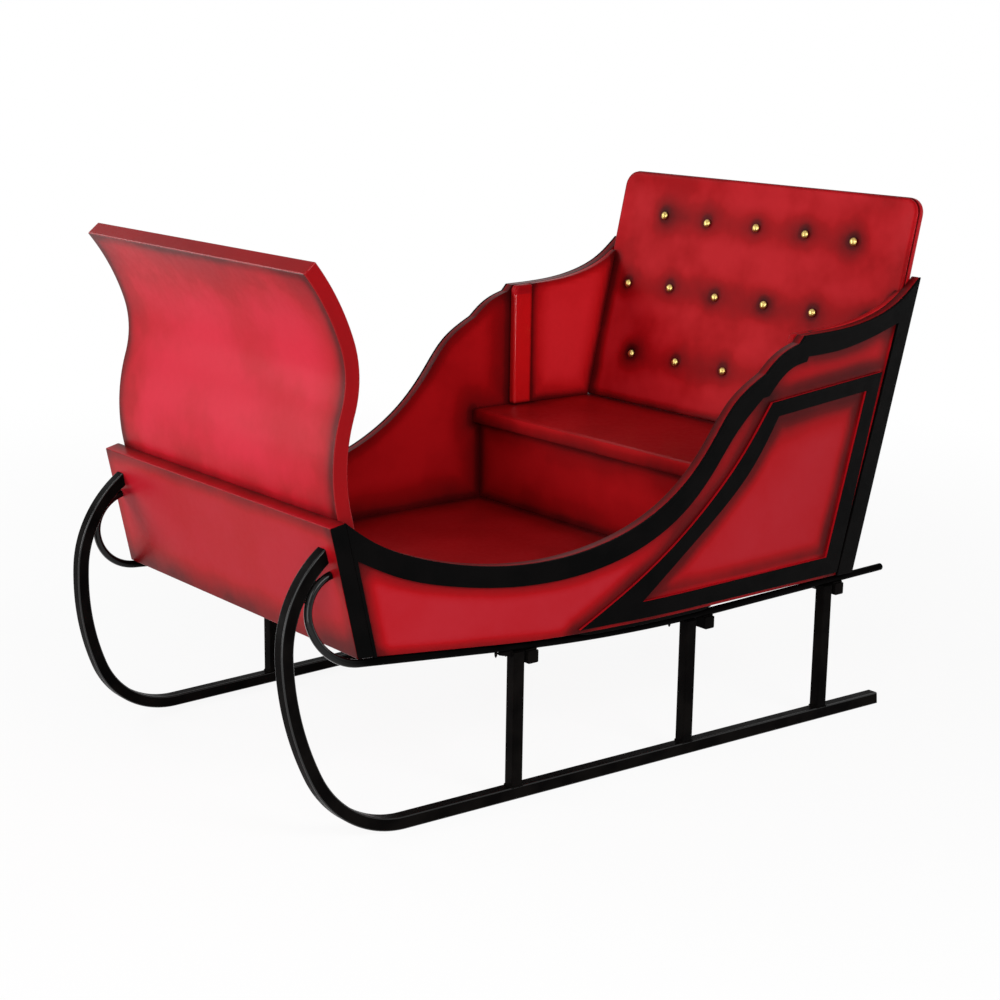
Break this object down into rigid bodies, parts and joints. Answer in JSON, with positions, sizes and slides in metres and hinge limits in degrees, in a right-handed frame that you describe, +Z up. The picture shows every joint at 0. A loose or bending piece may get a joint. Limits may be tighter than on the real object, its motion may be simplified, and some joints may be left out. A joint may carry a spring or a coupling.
{
  "type": "horse drawn sleigh",
  "caption": "Open horse drawn sleigh with a red ogee-sided body, tufted bench back, curved dash and black square-tube runners bent up to the front board.",
  "frame": {"origin": "centre of the bounding box, on the ground plane that the runners stand on", "axes": "+X to the front of the sleigh, where the runners bend up, +Y to its left, +Z up"},
  "size_m": [2.0002, 1.2302, 1.3954],
  "materials": {
    "red_lacquered_wood": "satin airbrushed lacquer, dark towards the edges",
    "black_trim": "semi-gloss black paint",
    "black_steel": "semi-gloss black paint on steel",
    "bearer_wood": "painted black",
    "red_upholstery": "satin, buttoned with brass studs"
  },
  "bodies": {
    "root": {"front_board": "red_lacquered_wood", "dash": "red_lacquered_wood", "side_left": "red_lacquered_wood", "side_right": "red_lacquered_wood", "floor": "red_lacquered_wood", "tail_board": "red_lacquered_wood", "seat": "red_lacquered_wood", "seat_riser": "red_lacquered_wood", "stile_left": "red_lacquered_wood", "stile_right": "red_lacquered_wood", "arm_left": "red_lacquered_wood", "arm_right": "red_lacquered_wood", "back_board": "red_lacquered_wood", "edge_band_left": "black_trim", "edge_band_right": "black_trim", "quarter_frame_left": "black_trim", "quarter_frame_right": "black_trim", "runner_left": "black_steel", "runner_right": "black_steel", "rail_left": "black_steel", "rail_right": "black_steel", "post_front_left": "black_steel", "post_front_right": "black_steel", "post_mid_left": "black_steel", "post_mid_right": "black_steel", "post_rear_left": "black_steel", "post_rear_right": "black_steel", "crossbar_front": "black_steel", "crossbar_mid": "black_steel", "crossbar_rear": "black_steel", "floor_bearer_front": "bearer_wood", "floor_bearer_mid": "bearer_wood", "floor_bearer_rear": "bearer_wood", "back_pad": "red_upholstery"}
  },
  "joints": []
}
